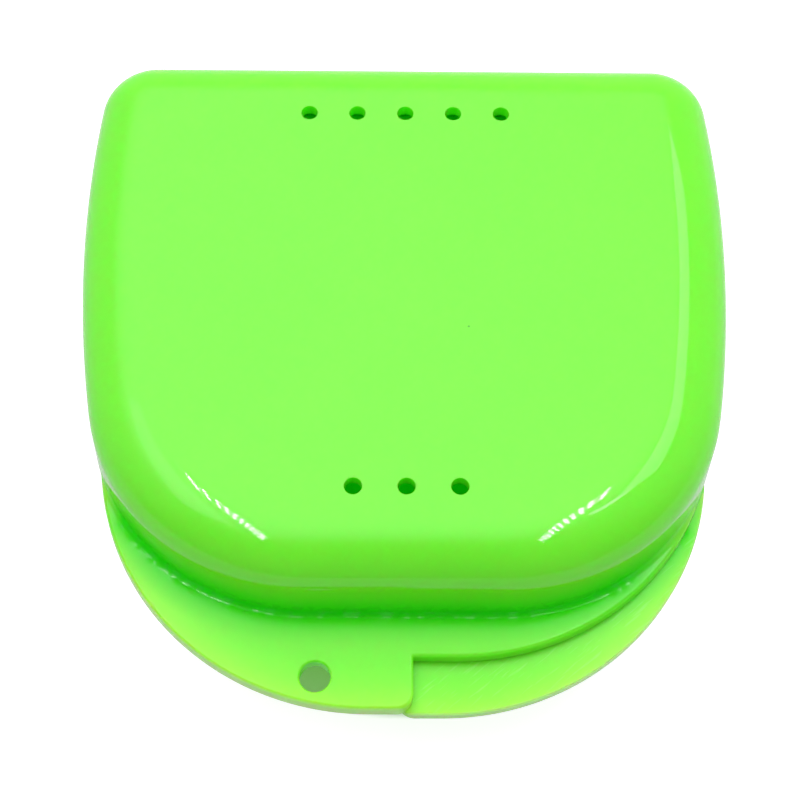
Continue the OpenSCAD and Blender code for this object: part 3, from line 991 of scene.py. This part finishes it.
class RETAINER_OT_stage(bpy.types.Operator):
    """Builds the floor, the lights and the camera"""

    bl_idname = "retainer.stage"
    bl_label = "Stage"

    def execute(self, context):
        scene = context.scene
        stage = scene.retainer_stage
        self.camera(scene, stage)
        self.floor(stage)
        self.surround(scene, stage)
        self.lamps(stage)
        scene.view_settings.view_transform = "Standard"
        return {"FINISHED"}

    def camera(self, scene, stage):
        """A camera at the photograph's place, above and in front of the case."""
        data = bpy.data.cameras.new("camera")
        data.sensor_width = SENSOR_WIDTH
        data.lens = stage.lens
        data.clip_start = 0.005
        camera = bpy.data.objects.new("camera", data)
        tilt, yaw, roll = stage.elevation, stage.yaw, stage.roll
        back = Vector((math.cos(tilt) * math.sin(yaw), -math.cos(tilt) * math.cos(yaw), math.sin(tilt)))
        right = Vector((math.cos(yaw), math.sin(yaw), 0))
        up = back.cross(right)
        turned_right = right * math.cos(roll) + up * math.sin(roll)
        turned_up = up * math.cos(roll) - right * math.sin(roll)
        axes = Matrix((turned_right, turned_up, back)).transposed()
        camera.matrix_world = Matrix.Translation(CAMERA_AIM + back * stage.distance) @ axes.to_4x4()
        scene.collection.objects.link(camera)
        scene.camera = camera

    def lamps(self, stage):
        """Two rows of small slanted lamps over the sides, a light inside the case, and soft strips
        outside the rows."""
        for side, name in ((-1, "left"), (1, "right")):
            for i in range(stage.row_count):
                place = (side * stage.row_x, stage.row_front + i * stage.row_pitch, stage.row_height)
                area_light(f"{name} lamp {i + 1}", place, (stage.lamp_w, stage.lamp_len),
                           side * stage.row_slant, stage.row_watts / stage.row_count, True)
        # Stands for the light that the closed case lets in through its walls
        data = bpy.data.lights.new("light through the plastic", "POINT")
        data.color = (0.02, 1, 0.01)
        data.energy = stage.inside_watts
        data.shadow_soft_size = 8 * MM
        light = bpy.data.objects.new(data.name, data)
        light.location = (0, 7 * MM, 15 * MM)
        light.visible_camera = False
        light.visible_glossy = False
        bpy.context.scene.collection.objects.link(light)
        for width in STRIP_WIDTHS:
            for side, middle, run, share in STRIPS:
                area_light(f"{side} soft strip {width}", (*middle, stage.row_height), (width, run), 0,
                           stage.strip_watts * width * share)
        front_w = 0.03
        area_light("right soft strip, front end", (0.204, 0.033, stage.row_height), (front_w, 0.135),
                   math.radians(-56), stage.strip_watts * front_w)

    def floor(self, stage):
        """A wide pale floor that fades into the white background."""
        half = 3.0
        mesh = bpy.data.meshes.new("floor")
        mesh.from_pydata([(-half, -half, 0), (half, -half, 0), (half, half, 0), (-half, half, 0)],
                         [], [(0, 1, 2, 3)])
        floor = new_object("floor", mesh)
        material, tree = new_material("matt white table")
        matt = add(tree, "ShaderNodeBsdfDiffuse", {"Color": stage.floor_colour})
        # The floor glows white to the eye, but not in a circle under the case. There it glows dark green
        # instead, a painted shadow with painted green light for the light that comes through the tabs
        circle_y, circle_r, circle_end = -6 * MM, 36.6 * MM, 38 * MM
        painted_green_shade, white_light = (0.05, 0.23, 0.0, 1.0), (0.8, 0.8, 0.8, 1.0)
        place = add(tree, "ShaderNodeTexCoord").outputs["Object"]
        far = add(tree, "ShaderNodeVectorMath", {0: place, 1: (0, circle_y, 0)}, operation="DISTANCE")
        open_floor = remap(tree, far.outputs["Value"], circle_r, circle_end,
                           interpolation_type="SMOOTHSTEP")
        glow = add(tree, "ShaderNodeEmission", {
            "Color": mix_colours(tree, open_floor, painted_green_shade, white_light),
            "Strength": background_share(tree, 1.0, 0.3)})
        both = add(tree, "ShaderNodeAddShader", {0: matt.outputs[0], 1: glow.outputs[0]})
        add(tree, "ShaderNodeOutputMaterial", {"Surface": both.outputs[0]})
        mesh.materials.append(material)

    def surround(self, scene, stage):
        """A white world, brighter overhead and behind, with a soft glow and dark below the floor."""
        world = bpy.data.worlds.new("white surround")
        world.use_nodes = True
        tree = world.node_tree
        tree.nodes.clear()
        toward = add(tree, "ShaderNodeTexCoord").outputs["Generated"]
        behind = add(tree, "ShaderNodeVectorMath", {0: toward, 1: (0, 1, 0.2)}, operation="DOT_PRODUCT")
        sky = remap(tree, behind.outputs["Value"], -0.4, 0.1, stage.sky_low, stage.sky_high)
        up, round_by, spread = math.radians(70), math.radians(-25), math.radians(40)
        middle = (math.cos(up) * math.sin(round_by), math.cos(up) * math.cos(round_by), math.sin(up))
        near = add(tree, "ShaderNodeVectorMath", {0: toward, 1: middle}, operation="DOT_PRODUCT")
        glow = remap(tree, near.outputs["Value"], math.cos(spread), 1.0, 0.0, stage.sky_glow,
                     interpolation_type="SMOOTHSTEP")
        # No light comes from below the horizon
        split = add(tree, "ShaderNodeSeparateXYZ", {0: toward})
        above = remap(tree, split.outputs["Z"], -0.02, 0.0)
        upper = calc(tree, "MULTIPLY", calc(tree, "ADD", sky, glow), above)
        path = add(tree, "ShaderNodeLightPath").outputs
        shade = add(tree, "ShaderNodeBackground", {
            "Color": (1, 1, 1, 1), "Strength": mix_values(tree, path["Is Camera Ray"], upper, 1.0)})
        add(tree, "ShaderNodeOutputWorld", {"Surface": shade.outputs[0]})
        scene.world = world


OPERATORS = (RETAINER_OT_lid_shell, RETAINER_OT_base_shell, RETAINER_OT_hinge_pins, RETAINER_OT_stage)


class RETAINER_PT_sidebar(bpy.types.Panel):
    """Lists the case's operators and settings."""

    bl_idname = "RETAINER_PT_sidebar"
    bl_label = "Retainer case"
    bl_space_type = "VIEW_3D"
    bl_region_type = "UI"
    bl_category = "Retainer case"

    def draw(self, context):
        for operator in OPERATORS:
            self.layout.operator(operator.bl_idname)
        for name, group in SETTINGS.items():
            box = self.layout.box()
            box.label(text=group.__doc__)
            for prop in group.__annotations__:
                box.prop(getattr(context.scene, name), prop)


CLASSES = (*SETTINGS.values(), *OPERATORS, RETAINER_PT_sidebar)


def register():
    for cls in CLASSES:
        bpy.utils.register_class(cls)
    for name, group in SETTINGS.items():
        setattr(bpy.types.Scene, name, bpy.props.PointerProperty(type=group))


def unregister():
    for name in SETTINGS:
        delattr(bpy.types.Scene, name)
    for cls in reversed(CLASSES):
        bpy.utils.unregister_class(cls)


def main():
    register()
    bpy.ops.retainer.stage()
    bpy.ops.retainer.base_shell()
    bpy.ops.retainer.hinge_pins()
    bpy.ops.retainer.lid_shell()


if __name__ == "__main__":
    main()
